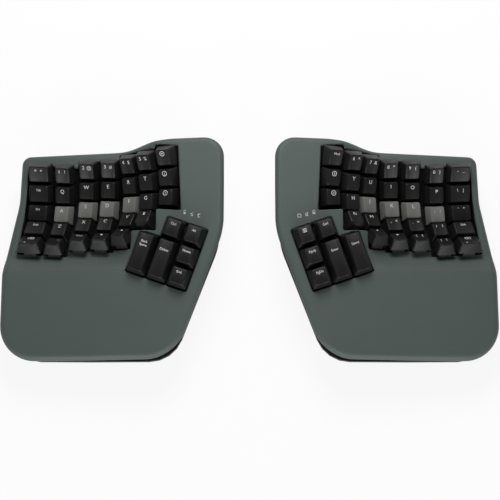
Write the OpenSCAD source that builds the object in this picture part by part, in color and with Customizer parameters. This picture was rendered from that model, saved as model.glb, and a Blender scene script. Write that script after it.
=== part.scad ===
// Split keyboard with two bowl-shaped key wells, thumb clusters and tenting bases.
// The right half is drawn and the left half is its mirror image.
// X runs outward from the gap between the halves, Y to the rear, Z up, in millimetres.

/* [Keys] */
// Pitch of the keys along a finger column, at skirt level
key_pitch = 18.9; // [18.6:0.1:19.6]
// Width of a one-unit keycap at its skirt
skirt = 17.9; // [17.6:0.1:18.2]
// Width of a one-unit keycap across its top
cap_top_w = 12.4; // [11:0.1:13.5]
// Depth of a keycap's top from front to rear
cap_top_d = 13.8; // [12:0.1:14]
// Height of a keycap above its skirt
cap_h = 8.5; // [8:0.1:9.5]
// Wall of a keycap
cap_wall = 1.4; // [1:0.1:1.6]
// Depth of the finger groove in a keycap's top
dish = 0.45; // [0.2:0.05:0.7]
// Full travel of a key
travel = 4; // [2:0.5:4]
// Skirt height above the switch plate with the key up
skirt_gap = 8.5; // [8.4:0.1:8.8]

/* [Key wells] */
// Tilt towards the user of the number, upper, home, lower and bottom rows
row_tilt = [30, 21, 8, -21, -39]; // [-45:1:40]
// Extra tilt moulded into the tops of the caps of those rows
cap_tilt = [8, 4, 0, -2, -9]; // [-12:1:12]
// Outward lean of the index columns
index_lean = 24; // [22:1:25]
// Outward lean of the other finger columns
finger_lean = 8; // [6:1:9]
// Turn of the columns, so that they fan out towards the user
splay = 5; // [4:0.5:6]
// Home key of each column, innermost first: distance out from the centre plane
column_out = [70.5, 88, 103.5, 125.6, 144.9, 166.3, 187.7]; // [60:0.5:190]
// Home key of each column: distance back
column_back = [43, 40.5, 40.5, 38, 37.5, 34, 35.7]; // [30:0.5:45]
// Home key of each column: skirt height
column_up = [49.7, 44, 34.5, 29.5, 28.5, 27.3, 26.3]; // [24:0.5:60]
// Thickness of the switch plates
plate_t = 1.5; // [1.5:0.1:2.5]

/* [Thumb cluster] */
// Middle of the cluster at skirt level: out, back and up
thumb_at = [71.9, -6, 56.5]; // [-10:0.5:80]
// Turn of the cluster
thumb_turn = 20; // [18:1:22]
// Tilt of the cluster towards the user
thumb_tilt = 4.5; // [3:0.5:6]
// Outward lean of the cluster
thumb_lean = 6.5; // [5:0.5:8]
// Pitch of the thumb keys
thumb_pitch = 19.05; // [19:0.05:19.2]

/* [Case] */
// Height of the case top where the inner edge meets the rear
crown = 67; // [65:0.5:69]
// Fall of the palm rest per millimetre outward
fall_out = 0.09; // [0.085:0.005:0.1]
// Fall of the palm rest per millimetre towards the user
fall_front = 0.08; // [0.075:0.005:0.085]
// Height of the hollow around the key well, at the middle finger
hollow_up = 40.5; // [40.2:0.1:40.8]
// Fall of the hollow per millimetre outward
hollow_fall = 0.06; // [0.055:0.005:0.065]
// Crease between the palm rest and the slope down to the hollow
crease = -19; // [-21:1:-17]
// Depth of that slope from front to rear
crease_run = 10; // [8:1:12]
// Wall of the case
wall = 2; // [1.8:0.1:2.2]
// Rounding of the top edge
edge_round = 7; // [6:0.5:8]
// Inward slope of the side walls, over their height
wall_slope = 5; // [4.5:0.5:6]
// Shift of the foot of the walls, outward and to the rear
foot_shift = [2.5, 1.5]; // [1:0.5:3]
// Height of the seam between the two shells
seam = 15; // [14:0.5:16]
// Height of the underside of the bottom shell
floor_z = 8.2; // [8.2:0.1:8.6]
// Thickness of the bottom shell
floor_t = 1.5; // [1.3:0.1:1.6]

/* [Tenting] */
// Largest tenting angle
tent_max = 10; // [5:1:10]
// Distance of the hinge line from the centre plane
hinge_out = 204; // [203:0.5:205]
// Height of the hinge line
hinge_up = 5; // [5:0.1:5.1]
// Radius of the hinge pin
pin_r = 1.5; // [1.2:0.1:1.6]
// Height of the rubber feet
foot_h = 2; // [1.5:0.1:2]
// Height of the top of the tenting base
base_top = 6.4; // [6:0.1:6.5]
// Inset of the tenting base from the case outline
base_inset = 5; // [4.5:0.1:6]
// Running gap around the tenting arms
slot_gap = 0.4; // [0.3:0.1:0.6]

/* [Hidden] */
$fn = 32;

// Rows are counted from the number row, columns from the innermost one
number_row = 0;
home_row = 2;
last_row = [2, 3, 4, 4, 4, 4, 4];
outer_column = 6;
column_units = [1, 1, 1, 1, 1, 1, 1.25];

// Switch sizes, from the plate's top face or the cap's skirt
switch_hole = 14;
switch_w = 13.8;
switch_flange = 15.6;
flange_t = 1;
switch_deep = 4.5;
switch_tall = 6.6;
switch_top = 11;
switch_room = 0.4;
slider_w = 6;
slider_gap = 0.4;
boss_r = 2.9;
boss_foot = 3;
boss_root = 0.6;
slider_foot = 6;
stem_gap = 0.03;
cross_size = [4, 1.2, 2.4];
cross_gap = 0.05;
slider_spare = 0.5;
slider_low = skirt_gap - slider_foot - travel - slider_spare;

// Height of a cut that goes right through
through = 60;

function unit(v) = v / norm(v);
function ramp(t) = let (u = max(0, min(1, t))) u * u * (3 - 2 * u);

// Height of the case top at a point: the palm rest, sunk to the hollow around the finger keys
crown_at = [30, 95];
middle_finger = 125;
hollow_from = 91;
hollow_skew = 0.12;
hollow_run = 34;
function palm(x, y) = crown - fall_out * (x - crown_at.x) - fall_front * (crown_at.y - y);
function hollow(x) = hollow_up - hollow_fall * (x - middle_finger);
function across(x, y) = ramp((x - hollow_from + hollow_skew * y) / hollow_run);
function sunk(x, y) = across(x, y) * max(0, min(1, (y - crease) / crease_run));
function skin(x, y) = palm(x, y) + sunk(x, y) * (hollow(x) - palm(x, y));

// Rows of a column as seats at skirt level, each tangent to the next
function row_step(a, b) =
    key_pitch / 2 * [cos(row_tilt[a]) + cos(row_tilt[b]), sin(row_tilt[a]) + sin(row_tilt[b])];
row_upper = row_step(2, 1);
row_number = row_upper + row_step(1, 0);
row_lower = -row_step(2, 3);
row_bottom = row_lower - row_step(3, 4);
row_seat = [row_number, row_upper, [0, 0], row_lower, row_bottom];

function lean(c) = c < 3 ? index_lean : finger_lean;
function cap_w(units) = skirt + (units - 1) * thumb_pitch;

// Turning a point about each axis
function turn_x(p, a) = [p.x, p.y * cos(a) - p.z * sin(a), p.y * sin(a) + p.z * cos(a)];
function turn_y(p, a) = [p.x * cos(a) + p.z * sin(a), p.y, p.z * cos(a) - p.x * sin(a)];
function turn_z(p, a) = [p.x * cos(a) - p.y * sin(a), p.x * sin(a) + p.y * cos(a), p.z];

// A point given beside a key, carried to the case
function key_point(c, r, p) =
    let (row = turn_x(p, row_tilt[r]) + [0, row_seat[r].x, row_seat[r].y])
    [column_out[c], column_back[c], column_up[c]] + turn_z(turn_y(row, lean(c)), splay);

module at_column(c)
    translate([column_out[c], column_back[c], column_up[c]])
    rotate([0, 0, splay])
    rotate([0, lean(c), 0])
    children();

module at_key(c, r)
    at_column(c)
    translate([0, row_seat[r].x, row_seat[r].y])
    rotate([row_tilt[r], 0, 0])
    children();

module at_thumb()
    translate(thumb_at)
    rotate([0, thumb_lean, 0])
    rotate([thumb_tilt, 0, 0])
    rotate([0, 0, thumb_turn])
    children();

// Thumb grid: out and back, in units of the thumb pitch, with the length of the key
module at_thumb_key(out, back)
    at_thumb()
    translate([out * thumb_pitch, back * thumb_pitch, 0])
    children();

thumb_keys = [[1, -0.5], [0, -0.5], [0, 1], [-1, 1], [-1, 0], [-1, -1]];

// Case outline: corners of the right half with their radii, anticlockwise from the rear inner corner
corners = [
    [22.5, 96, 18], [22.3, 55, 90], [22.5, 12, 60], [64, -99, 36], [140, -99.4, 90],
    [217, -99, 32], [217, -18, 105], [205.5, 44, 60], [205, 88, 8], [118, 90.5, 70], [70, 95.6, 70]
];
corner_steps = 4;
corner_count = len(corners);
tight_corner = 50;
least_corner = 2;

function corner_at(i) = let (k = corners[(i + corner_count) % corner_count]) [k.x, k.y];
function side_normal(a, b) = let (u = unit(b - a)) [-u.y, u.x];
function inset_corner(i, d) =
    let (m = side_normal(corner_at(i - 1), corner_at(i)), n = side_normal(corner_at(i), corner_at(i + 1)))
    corner_at(i) + d * (m + n) / (1 + m * n);
function half_turn(a) = a > 180 ? a - 360 : a < -180 ? a + 360 : a;
function arc_points(a, b, c, r) =
    let (
        u = unit(a - b),
        v = unit(c - b),
        half = acos(u * v) / 2,
        mid = b + unit(u + v) * r / sin(half),
        from = b + u * r / tan(half) - mid,
        to = b + v * r / tan(half) - mid,
        start = atan2(from.y, from.x),
        sweep = half_turn(atan2(to.y, to.x) - start)
    )
    [
        for (k = [0 : corner_steps])
            let (a = start + sweep * k / corner_steps)
            mid + r * [cos(a), sin(a)]
    ];
function outline(d) = [
    for (i = [0 : corner_count - 1])
        each arc_points(
            inset_corner(i - 1, d),
            inset_corner(i, d),
            inset_corner(i + 1, d),
            max(least_corner, corners[i][2] - (corners[i][2] < tight_corner ? d : 0))
        )
];

// Rings of the top shell: t is 0 for the outer face and the wall for the inner one
shell_middle = [125, 0];
edge_angles = [0, 30, 60, 90];
top_shares = [0.85, 0.68, 0.5, 0.3, 0.12];
function foot_outline(t) = [for (p = outline(wall_slope + t)) p + foot_shift];
function foot_ring(t) = [for (p = foot_outline(t)) [p.x, p.y, seam]];
function edge_ring(a, t) = [
    for (p = outline(edge_round * (1 - cos(a)) + t))
        [p.x, p.y, skin(p.x, p.y) - edge_round * (1 - sin(a)) - t]
];
function top_ring(s, t) = [
    for (p = outline(edge_round + t))
        let (q = shell_middle + s * (p - shell_middle))
        [q.x, q.y, skin(q.x, q.y) - t]
];
function face_rings(t) = [
    foot_ring(t),
    for (a = edge_angles)
        edge_ring(a, t),
    for (s = top_shares)
        top_ring(s, t)
];
function reversed(list) = [for (i = [len(list) - 1 : -1 : 0]) list[i]];

// Closed solid through a list of rings with equal point counts
module loft(rings) {
    n = len(rings[0]);
    m = len(rings);
    sides = [
        for (j = [0 : m - 2])
            for (i = [0 : n - 1])
                each [
                    [j * n + i, (j + 1) * n + i, (j + 1) * n + (i + 1) % n],
                    [j * n + i, (j + 1) * n + (i + 1) % n, j * n + (i + 1) % n]
                ]
    ];
    first = [for (i = [0 : n - 1]) i];
    final = [for (i = [n - 1 : -1 : 0]) (m - 1) * n + i];
    polyhedron([for (ring = rings) each ring], concat(sides, [first, final]));
}

// Screw posts of the top shell
screw_posts = [[37, 79], [37, 32], [80, -76], [192, -72]];
post_r = 4;
screw_r = 1.4;
screw_gap = 0.2;
screw_long = 14;
head_r = 2.6;
head_h = 0.9;
head_gap = 0.4;

// Indicator lights beside the thumb cluster
light_r = 1.7;
light_gap = 0.1;
light_at = [49.7, 25.6];
light_step = [-6.4, -1.7];
lights = [for (k = [-1 : 1]) light_at + k * light_step];
light_proud = 0.3;
light_flange = [1, 1.6];

// Edge of the key well: skirt corners of the rows on its border. Sunk columns leave room for the travel,
// and the finger columns' caps stand over the case.
rim_round = 1;
rim_deep = 9;
rear_gap = [2.6, 2.6, 2.6, -1, -1, -1, -1];
front_gap = [3.8, 1.6, 2.9, 0.2, -0.6, -0.6, -0.6];
outer_gap = 1.2;
inner_gap = 2.5;
function side_gap(side) = side > 0 ? outer_gap : inner_gap;
function end_gap(c, r, side) = side > 0 ? rear_gap[c] : r == last_row[c] ? front_gap[c] : 0;
function rim_point(c, r, sx, sy) =
    key_point(c, r, [
        sx * (cap_w(column_units[c]) / 2 + side_gap(sx) - rim_round),
        sy * (skirt / 2 + end_gap(c, r, sy) - rim_round),
        0
    ]);

module rim_post(p)
    translate([p.x, p.y, skin(p.x, p.y) - rim_deep])
    cylinder(h = through, r = rim_round, $fn = 8);

module well_opening() {
    for (c = [0 : outer_column])
        hull()
            for (r = [number_row : last_row[c]])
                for (sx = [-1, 1]) {
                    rim_post(rim_point(c, r, sx, r == number_row ? 1 : -1));
                    rim_post(rim_point(c, r, sx, r == last_row[c] ? -1 : 1));
                }
    for (c = [0 : outer_column - 1])
        hull() {
            rim_post(rim_point(c, number_row, 1, 1));
            rim_post(rim_point(c, last_row[c], 1, -1));
            rim_post(rim_point(c + 1, number_row, -1, 1));
            rim_post(rim_point(c + 1, last_row[c], -1, -1));
        }
}

// Thumb opening: the grid's cells with a margin
thumb_margin = 0.3;
thumb_cut = 10;
thumb_opening = [[-1.5, -1.5, 1.5, 0.5], [-1.5, -1.5, 0.5, 1.5]];
module thumb_cells(cells, margin, from, to)
    for (cell = thumb_pitch * cells)
        translate([cell[0] - margin, cell[1] - margin, from])
        cube([cell[2] - cell[0] + 2 * margin, cell[3] - cell[1] + 2 * margin, to - from]);

// Room for a switch under the edge of the case: its lower housing, flange and upper housing
switch_steps = [
    [switch_w, -switch_deep, 0],
    [switch_flange, 0, flange_t],
    [switch_top, flange_t, switch_tall]
];
module switch_relief()
    for (step = switch_steps)
        let (w = step[0] + 2 * switch_room)
        translate([0, 0, (step[1] + step[2]) / 2 - skirt_gap])
        cube([w, w, step[2] - step[1] + 2 * switch_room], center = true);

module top_case() color("slategray") {
    difference() {
        union() {
            loft(concat(reversed(face_rings(wall)), face_rings(0)));
            for (p = screw_posts)
                translate([p.x, p.y, floor_z + floor_t])
                cylinder(h = skin(p.x, p.y) - wall / 2 - floor_z - floor_t, r = post_r, $fn = 20);
        }
        well_opening();
        for (c = [0 : outer_column])
            for (r = [number_row, last_row[c]])
                at_key(c, r)
                switch_relief();
        at_thumb()
            thumb_cells(thumb_opening, thumb_margin, -thumb_cut, through);
        for (p = lights)
            translate([p.x, p.y, skin(p.x, p.y) - rim_deep])
            cylinder(h = through, r = light_r + light_gap, $fn = 16);
        for (p = screw_posts)
            translate([p.x, p.y, 0])
            cylinder(h = floor_z + screw_long + 2, r = screw_r + screw_gap, $fn = 16);
        usb_hole();
        knob_slot();
    }
}

// Rear sockets, in the sloping rear wall
board_top = 24;
function rear_wall(p) =
    let (top = skin(p.x, corners[0].y) - edge_round)
    corners[0].y - (wall_slope - foot_shift.y) * (top - p.y) / (top - seam);
wall_cut = 16;
usb_size = [9, 8, 3.4];
usb_wall = 0.4;
usb_back = 2;
usb_sunk = 0.6;
usb_gap = 0.8;
usb_at = [50, board_top + usb_size.z / 2];
knob_size = [4, 7, 2.4];
knob_at = [67, 26];
knob_proud = 1;
knob_travel = 3;
knob_gap = 0.4;

module usb_hole()
    translate([usb_at.x, rear_wall(usb_at), usb_at.y])
    cube([usb_size.x + 2 * usb_gap, wall_cut, usb_size.z + 2 * usb_gap], center = true);

module knob_slot()
    translate([knob_at.x + knob_travel / 2, rear_wall(knob_at), knob_at.y])
    cube([knob_size.x + knob_travel + 2 * knob_gap, wall_cut, knob_size.z + 2 * knob_gap], center = true);

// Tenting arms: arcs about the hinge line, fixed to the base
arms = [[46, 40], [78, -62]];
arm_t = 5;
arm_w = 8;
arm_sweep = tent_max + 2.8;
arm_root = -0.3;
slot_root = -6;
function arm_radius(arm) = hinge_out - arm.x;

module about_hinge(y)
    translate([hinge_out, y, hinge_up])
    rotate([90, 0, 0])
    children();

// Arc of an arm, from below the base to its tip
module arm_arc(arm, gap, down, up)
    about_hinge(arm.y)
    rotate([0, 0, 180 - up])
    rotate_extrude(angle = up - down)
    translate([arm_radius(arm), 0])
    square([arm_t + 2 * gap, arm_w + 2 * gap], center = true);

// Hinge knuckles: the middle of each set is the case's, the outer two are the base's
hinge_sets = [-56, 2];
knuckle_r = 2.8;
knuckle_w = 9;
knuckle_gap = 0.4;
pin_gap = 0.05;
case_tab = 12;
base_tab = 10;
case_tab_seat = 25;
base_tab_seat = 23;
outer_edge = max([for (k = corners) k.x]);
function tab_root(seat, tab) = min(outer_edge - seat, hinge_out - tab);

module knuckle(y, w)
    translate([hinge_out, y + w / 2, hinge_up])
    rotate([90, 0, 0])
    cylinder(h = w, r = knuckle_r);

// Button that frees the tenting arms, in the inner wall, with a tongue along the rear arm
button_at = [28, 46, floor_z + floor_t + 0.3];
button_size = [9, 12, 3.2];
button_gap = 0.3;
button_cut = 6;
tongue_w = 2.5;
tongue_reach = 24;

module bottom_case() color("dimgray") {
    difference() {
        union() {
            translate([0, 0, floor_z])
                linear_extrude(floor_t)
                polygon(foot_outline(0));
            translate([0, 0, floor_z + floor_t / 2])
                linear_extrude(seam - floor_z - floor_t / 2)
                difference() {
                    polygon(foot_outline(0));
                    polygon(foot_outline(wall));
                }
            for (y = hinge_sets) {
                knuckle(y, knuckle_w);
                translate([hinge_out - knuckle_r, y - knuckle_w / 2, hinge_up])
                    cube([2 * knuckle_r, knuckle_w, floor_z + 1 - hinge_up]);
                let (root = tab_root(case_tab_seat, case_tab))
                    translate([root, y - knuckle_w / 2, floor_z])
                    cube([hinge_out + knuckle_r - root, knuckle_w, floor_t]);
            }
        }
        translate([hinge_out, 0, hinge_up])
            rotate([90, 0, 0])
            cylinder(h = 5 * through, r = pin_r + pin_gap, center = true);
        for (arm = arms)
            arm_arc(arm, slot_gap, slot_root, arm_sweep);
        for (p = screw_posts) {
            translate([p.x, p.y, 0])
                cylinder(h = through, r = screw_r + screw_gap);
            translate([p.x, p.y, floor_z - head_h])
                cylinder(h = 2 * head_h, r = head_r + head_gap);
        }
        translate(button_at - [button_cut, button_gap, button_gap])
            cube(button_size + [button_cut, 2 * button_gap, 2 * button_gap]);
    }
}

// Curved switch plate: a folded sheet with one line of points along each side of each column.
// Its ends and sides rise to the underside of the case as walls, except behind the index columns
// and in front of the third one, where it ends flat below the keys.
well_wall = 1.5;
well_seat = 0.2;
plate_margin = 1.2;
index_margin = [2.1, 0.9];
border_margin = 0.7;
rear_trim = 1.5;
front_trim = [0.5, 0.5, 0.5, 1.5, 1.5, 1.5, 1.5];
rear_reach = 0.2;
front_reach = 1;
rear_low = [0, 0, 0, 1.5, 1.5, 1.5, 3];
side_low = 1.8;
function plate_edge(c, side) =
    c == 0 && side < 0 || c == outer_column && side > 0
    ? side * (cap_w(column_units[c]) / 2 + border_margin)
    : side * (switch_hole / 2 + (c > 2 ? plate_margin : index_margin[side < 0 ? 0 : 1]));
function column_point(c, p) =
    [column_out[c], column_back[c], column_up[c]] + turn_z(turn_y(p, lean(c)), splay);
function row_end(r, side, depth, more) =
    row_seat[r] + side * (key_pitch / 2 + more) * [cos(row_tilt[r]), sin(row_tilt[r])]
    - depth * [-sin(row_tilt[r]), cos(row_tilt[r])];
function mitre(r, depth) =
    let (mid = (row_tilt[r] + row_tilt[r + 1]) / 2)
    row_end(r, -1, 0, 0) - depth / cos((row_tilt[r] - row_tilt[r + 1]) / 2) * [-sin(mid), cos(mid)];
function at_rim(p, out, low) =
    let (q = [p.x + out.x, p.y + out.y])
    [q.x, q.y, skin(q.x, q.y) - wall - low];
function row_line(c, depth) = [
    row_end(0, 1, depth, -rear_trim),
    for (r = [0 : last_row[c] - 1])
        mitre(r, depth),
    row_end(last_row[c], -1, depth, -front_trim[c])
];
function well_line(c, x, depth, out) =
    let (
        last = last_row[c],
        line = [for (q = row_line(c, depth)) column_point(c, [x, q.x, q.y])],
        back = row_end(0, 1, c < 3 ? depth : skirt_gap, rear_reach - rear_trim),
        rear_end = column_point(c, [x, back.x, back.y]),
        ahead = c < 2
            ? row_end(last, -1, 0, front_gap[c])
            : row_end(last, -1, c == 2 ? depth : skirt_gap, front_reach - front_trim[c]),
        front_end = column_point(c, [x, ahead.x, ahead.y]),
        rear = c < 3 ? rear_end : at_rim(rear_end, [0, out / 2], rear_low[c]),
        front = c == 2 ? front_end : at_rim(front_end, [0, c == 1 ? -out / 2 : -out], well_seat),
        foot = line[last + 1],
        spare = 4 - last
    )
    concat([rear], line, [for (k = [1 : 1 : spare]) foot + (front - foot) * k / (spare + 1)], [front]);
function side_line(c, side, out) = [
    for (p = well_line(c, side * (cap_w(column_units[c]) / 2 + side_gap(side)), 0, out))
        at_rim(p, [side * out, 0], side > 0 ? side_low : well_seat)
];
function well_face(depth, out) = [
    side_line(outer_column, 1, out),
    for (c = [outer_column : -1 : 0])
        each [
            well_line(c, plate_edge(c, 1), depth, out),
            well_line(c, plate_edge(c, -1), depth, out)
        ],
    side_line(0, -1, out)
];

// Closed sheet between two faces, each a list of lines with equal point counts
module sheet(top, under) {
    m = len(top);
    n = len(top[0]);
    rise = m * n;
    cells = [
        for (j = [0 : m - 2])
            for (i = [0 : n - 2])
                let (p = j * n + i)
                each [
                    [p, p + 1, p + n + 1],
                    [p, p + n + 1, p + n],
                    [rise + p, rise + p + n + 1, rise + p + 1],
                    [rise + p, rise + p + n, rise + p + n + 1]
                ]
    ];
    loop = concat(
        [for (i = [0 : n - 2]) i],
        [for (j = [0 : m - 2]) j * n + n - 1],
        [for (i = [n - 1 : -1 : 1]) (m - 1) * n + i],
        [for (j = [m - 1 : -1 : 1]) j * n]
    );
    edges = [
        for (i = [0 : len(loop) - 1])
            let (a = loop[i], b = loop[(i + 1) % len(loop)])
            each [
                [a, rise + a, rise + b],
                [a, rise + b, b]
            ]
    ];
    polyhedron(concat([for (line = top) each line], [for (line = under) each line]), concat(cells, edges));
}

// Cut-out for a switch, wider below for the mould's draft
switch_draft = 0.6;
module switch_cut()
    hull() {
        translate([0, 0, switch_deep])
            cube([switch_hole, switch_hole, 1], center = true);
        cube([switch_hole, switch_hole, 1], center = true);
        translate([0, 0, -switch_deep])
            cube([switch_hole + switch_draft, switch_hole + switch_draft, 1], center = true);
    }

module key_well() color("darkslategray") {
    difference() {
        sheet(well_face(skirt_gap, 0), well_face(skirt_gap + plate_t, well_wall));
        for (c = [0 : outer_column])
            for (r = [0 : last_row[c]])
                at_key(c, r)
                translate([0, 0, -skirt_gap])
                switch_cut();
    }
}

// Thumb plate: it stops short of the key well, and stands on posts square to it
thumb_plate_cells = [[-1.5, -1.5, 1.42, -0.05], [-1.5, -1.5, 0.5, 1.5]];
thumb_posts = [[-0.5, 0.5], [-0.5, -1.2], [1, -1.2], [0.5, -0.1]];
thumb_post_r = 1.6;
thumb_post_gap = 0.4;

module thumb_post_rods(gap)
    for (p = thumb_posts)
        at_thumb_key(p.x, p.y)
        translate([0, 0, -through - skirt_gap - plate_t / 2])
        cylinder(h = through, r = thumb_post_r + gap);

module thumb_plate() color("darkslategray") {
    difference() {
        union() {
            at_thumb()
                thumb_cells(thumb_plate_cells, 0, -skirt_gap - plate_t, -skirt_gap);
            intersection() {
                thumb_post_rods(0);
                translate([0, -2 * through, floor_z + floor_t])
                    cube([4 * through, 4 * through, through]);
            }
        }
        for (k = thumb_keys)
            at_thumb_key(k.x, k.y)
            translate([0, 0, -skirt_gap])
            cube([switch_hole, switch_hole, 4 * plate_t], center = true);
    }
}

// One switch body, from the key's skirt level
module switch_body()
    translate([0, 0, -skirt_gap])
    difference() {
        union() {
            translate([0, 0, -switch_deep / 2])
                cube([switch_w, switch_w, switch_deep], center = true);
            translate([0, 0, flange_t / 2])
                cube([switch_flange, switch_flange, flange_t], center = true);
            translate([0, 0, switch_tall / 2])
                cube([switch_top, switch_top, switch_tall], center = true);
        }
        translate([-slider_w / 2 - slider_gap, -slider_w / 2 - slider_gap, slider_low])
            cube([slider_w + 2 * slider_gap, slider_w + 2 * slider_gap, switch_tall - slider_low + 1]);
    }

module switch_bodies() color("saddlebrown") {
    for (c = [0 : outer_column])
        for (r = [0 : last_row[c]])
            at_key(c, r)
            switch_body();
    for (k = thumb_keys)
        at_thumb_key(k.x, k.y)
        switch_body();
}

// One tapered solid of a keycap: its width and depth at the skirt and at height h, the top tilted
module taper(w0, d0, w1, d1, h, tilt, low) {
    high = h + 3;
    side = (w0 - w1) / 2 / h;
    ends = (d0 - d1) / 2 / h;
    rise = d1 / 2 * tan(tilt);
    intersection() {
        rotate([90, 0, 0])
            linear_extrude(3 * d0, center = true)
            polygon([
                [-w0 / 2 + side * low, low],
                [w0 / 2 - side * low, low],
                [w0 / 2 - side * high, high],
                [-w0 / 2 + side * high, high]
            ]);
        rotate([90, 0, 90])
            linear_extrude(3 * w0, center = true)
            polygon([
                [-d0 / 2 + ends * low, low],
                [d0 / 2 - ends * low, low],
                [d1 / 2, h + rise],
                [-d1 / 2, h - rise]
            ]);
    }
}

// Keycap with its slider: size in units across and along the column
module key(across, along, tilt) {
    w = cap_w(across);
    d = cap_w(along);
    top_w = cap_top_w + w - skirt;
    top_d = cap_top_d + d - skirt;
    groove = 1 / (8 * dish) * cap_top_w * cap_top_w;
    roof = cap_h - cap_wall - dish;
    difference() {
        union() {
            difference() {
                taper(w, d, top_w, top_d, cap_h, tilt, 0);
                taper(
                    w - 2 * cap_wall,
                    d - 2 * cap_wall,
                    top_w - 2 * cap_wall,
                    top_d - 2 * cap_wall,
                    roof,
                    tilt,
                    -1
                );
            }
            translate([0, 0, boss_foot])
                cylinder(h = roof - boss_foot + boss_root, r = boss_r);
        }
        translate([0, 0, cap_h - dish])
            rotate([90 + tilt, 0, 0])
            translate([0, groove, 0])
            cylinder(h = 3 * d, r = groove, center = true);
        stem_cross(cross_gap);
    }
    translate([0, 0, -stem_gap]) {
        stem_cross(0);
        translate([0, 0, (boss_foot - slider_foot) / 2])
            cube([slider_w, slider_w, boss_foot + slider_foot], center = true);
    }
}

module stem_cross(gap)
    for (a = [0, 90])
        rotate([0, 0, a])
        translate([0, 0, boss_foot + cross_size.z / 2])
        cube(cross_size + 2 * [gap, gap, gap], center = true);

module finger_keys(r) color(r == home_row ? "gray" : "dimgray")
    for (c = [3 : outer_column])
        at_key(c, r)
        key(column_units[c], 1, cap_tilt[r]);

module index_keys(r) color(r == home_row ? "gray" : "dimgray")
    for (c = [0 : 2])
        if (r <= last_row[c])
            at_key(c, r)
            key(1, 1, cap_tilt[r]);

module thumb_key(list) color("dimgray")
    for (i = list)
        at_thumb_key(thumb_keys[i].x, thumb_keys[i].y)
        key(1, i < 2 ? 2 : 1, 0);

// Circuit boards: a flexible strip below each column, a thumb board and the main board on its posts
strip_t = 0.8;
board_t = 1.6;
board_size = [32, 35];
board_rear = 85;
board_at = [42, board_rear - board_size.y];
board_margin = 4;
board_post_r = 2;
function strip_end(r, side, depth) =
    row_seat[r] + side * switch_w / 2 * [cos(row_tilt[r]), sin(row_tilt[r])]
    - depth * [-sin(row_tilt[r]), cos(row_tilt[r])];
function strip_line(c, depth) = [
    strip_end(0, 1, depth),
    for (r = [0 : last_row[c] - 1])
        mitre(r, depth),
    strip_end(last_row[c], -1, depth)
];

module column_strip(c)
    at_column(c)
    rotate([90, 0, 90])
    linear_extrude(switch_w, center = true)
    polygon(concat(
        strip_line(c, skirt_gap + switch_deep),
        reversed(strip_line(c, skirt_gap + switch_deep + strip_t))
    ));

module circuit_boards() color("darkgreen") {
    for (c = [0 : outer_column])
        column_strip(c);
    difference() {
        at_thumb()
            translate([0, 0, -skirt_gap - switch_deep - board_t])
            thumb_cells(thumb_plate_cells, -board_t, 0, board_t);
        thumb_post_rods(thumb_post_gap);
    }
    translate([board_at.x, board_at.y, board_top - board_t])
        cube([board_size.x, board_size.y, board_t]);
    for (x = [board_margin, board_size.x - board_margin])
        for (y = [board_margin, board_size.y - board_margin])
            translate([board_at.x + x, board_at.y + y, floor_z + floor_t])
            cylinder(h = board_top - board_t / 2 - floor_z - floor_t, r = board_post_r);
}

battery_at = [122, -72];
battery_size = [56, 36, 8];
module battery() color("silver")
    translate([battery_at.x, battery_at.y, floor_z + floor_t])
    cube(battery_size);

module usb_port() color("lightgray")
    translate([usb_at.x - usb_size.x / 2, rear_wall(usb_at) - usb_size.y - usb_sunk, board_top])
    difference() {
        cube(usb_size);
        translate([usb_wall, usb_back, usb_wall])
            cube(usb_size - [2 * usb_wall, 0, 2 * usb_wall]);
    }

module power_knob() color("black")
    translate([
        knob_at.x - knob_size.x / 2,
        rear_wall(knob_at) + knob_proud - knob_size.y,
        knob_at.y - knob_size.z / 2
    ])
    cube(knob_size);

module indicator_lights() color("white")
    for (p = lights)
        translate([p.x, p.y, skin(p.x, p.y)]) {
            translate([0, 0, -wall - light_flange[0]])
                cylinder(h = wall + light_flange[0] + light_proud, r = light_r);
            translate([0, 0, -wall - 2 * light_flange[0]])
                cylinder(h = light_flange[1], r = light_r + light_flange[0]);
        }

module case_screws() color("silver")
    for (p = screw_posts)
        translate([p.x, p.y, floor_z]) {
            cylinder(h = head_h, r = head_r);
            cylinder(h = screw_long, r = screw_r);
        }

module tent_base() color("black") {
    difference() {
        union() {
            translate([0, 0, foot_h])
                linear_extrude(base_top - foot_h)
                intersection() {
                    polygon(outline(base_inset));
                    translate([0, -2 * through])
                        square([hinge_out - knuckle_r - 1, 4 * through]);
                }
            for (y = hinge_sets)
                for (s = [-1, 1])
                    translate([0, s * (knuckle_w + knuckle_gap), 0]) {
                        knuckle(y, knuckle_w);
                        let (root = tab_root(base_tab_seat, base_tab))
                            translate([root, y - knuckle_w / 2, foot_h])
                            cube([hinge_out - root, knuckle_w, hinge_up - foot_h + 0.6]);
                    }
            for (arm = arms)
                arm_arc(arm, 0, arm_root, arm_sweep);
        }
        translate([hinge_out, 0, hinge_up])
            rotate([90, 0, 0])
            cylinder(h = 5 * through, r = pin_r, center = true);
        for (y = hinge_sets)
            translate([hinge_out - knuckle_r - 1.2, y - knuckle_w / 2 - knuckle_gap, 0])
            cube([base_tab, knuckle_w + 2 * knuckle_gap, through]);
    }
}

module hinge_pin() color("silver")
    translate([hinge_out, hinge_sets[1] + 1.5 * knuckle_w + 1, hinge_up])
    rotate([90, 0, 0])
    cylinder(h = hinge_sets[1] - hinge_sets[0] + 3 * knuckle_w + 2, r = pin_r);

module tent_button() color("black")
    translate(button_at) {
        cube(button_size);
        translate([button_size.x / 2, arms[0].y + arm_w / 2 + slot_gap - button_at.y, 0])
            cube([tongue_reach - button_size.x / 2, tongue_w, button_size.z]);
    }

feet = [[42, 78], [40, 20], [78, -80], [186, -80], [186, 70]];
foot_r = 6;
module rubber_feet() color("black")
    for (p = feet)
        translate([p.x, p.y, 0])
        cylinder(h = foot_h, r = foot_r);

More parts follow.
